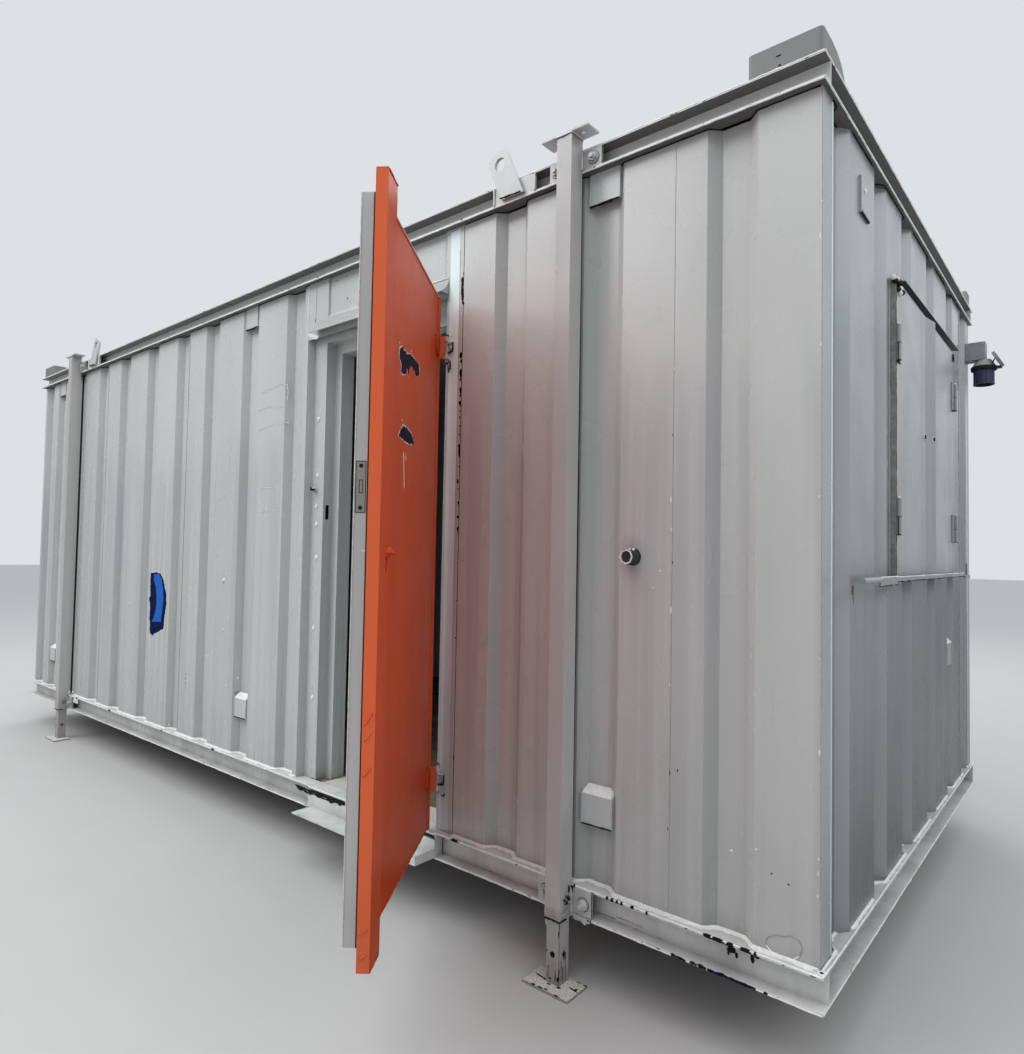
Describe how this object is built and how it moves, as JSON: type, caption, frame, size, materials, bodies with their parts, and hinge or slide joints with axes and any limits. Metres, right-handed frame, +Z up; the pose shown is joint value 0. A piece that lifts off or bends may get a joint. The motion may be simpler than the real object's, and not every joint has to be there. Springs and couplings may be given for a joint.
{
  "type": "site cabin",
  "caption": "Steel site cabin with pressed ribbed walls, an open orange steel door, shuttered window, lifting eyes and telescopic jack legs.",
  "frame": {"origin": "centre of the bounding box at rest (door open, as pictured) on the level ground under the feet", "axes": "+Z up, -Y out of the long wall with the door, +X out of the end wall with the window"},
  "size_m": [6.2521, 3.2625, 2.8016],
  "materials": {
    "frame_paint": "thick brushed light grey paint, worn at edges",
    "wall_paint": "semi-gloss light grey paint, rain washed",
    "door_orange_paint": "orange gloss paint, chipped",
    "door_grey_paint": "grey satin paint",
    "bare_steel": "dull bare steel",
    "lining_board": "painted plywood",
    "deck_board": "worn plywood",
    "glass": "clear",
    "socket_plastic": "moulded blue",
    "inlet_box_plastic": "moulded grey"
  },
  "bodies": {
    "cabin": {"base_rails_long": "frame_paint", "base_rails_end": "frame_paint", "floor_bearers": "frame_paint", "floor_deck": "deck_board", "top_rails_long": "frame_paint", "top_rails_end": "frame_paint", "corner_posts": "frame_paint", "roof_sheet": "frame_paint", "roof_corner_blocks": "frame_paint", "wall_front_left": "wall_paint", "wall_front_right": "wall_paint", "wall_over_door": "wall_paint", "wall_back": "wall_paint", "wall_end_left": "wall_paint", "wall_end_window": "wall_paint", "lining_long_walls": "lining_board", "lining_end_walls": "lining_board", "ceiling_lining": "lining_board", "door_jamb_lock": "wall_paint", "door_jamb_hinge": "wall_paint", "door_head": "wall_paint", "door_canopy": "frame_paint", "door_sill": "frame_paint", "door_step_plate": "frame_paint", "door_hinge_pins": "frame_paint", "jack_leg_tubes": "frame_paint", "jack_leg_inners": "frame_paint", "jack_leg_pins": "bare_steel", "jack_leg_brackets": "frame_paint", "lifting_eyes": "frame_paint", "window_frame": "wall_paint", "window_glass": "glass", "window_shutters": "wall_paint", "shutter_hinges": "wall_paint", "window_canopy": "wall_paint", "window_sill_bar": "wall_paint", "vent_hoods": "wall_paint", "waste_pipe": "wall_paint", "power_inlet_box": "inlet_box_plastic", "power_inlet_socket": "socket_plastic", "power_inlet_lid": "inlet_box_plastic"},
    "door": {"door_leaf": "door_grey_paint", "door_skin": "door_orange_paint", "door_hinge_lugs": "door_orange_paint", "door_lock_plate": "bare_steel"}
  },
  "joints": [
    {"name": "door_hinge", "type": "hinge", "parent": "cabin", "child": "door", "pos_m": [1.5259, -0.8748, 0], "axis": [0, 0, 1], "range_deg": [-126.8, 15]}
  ]
}
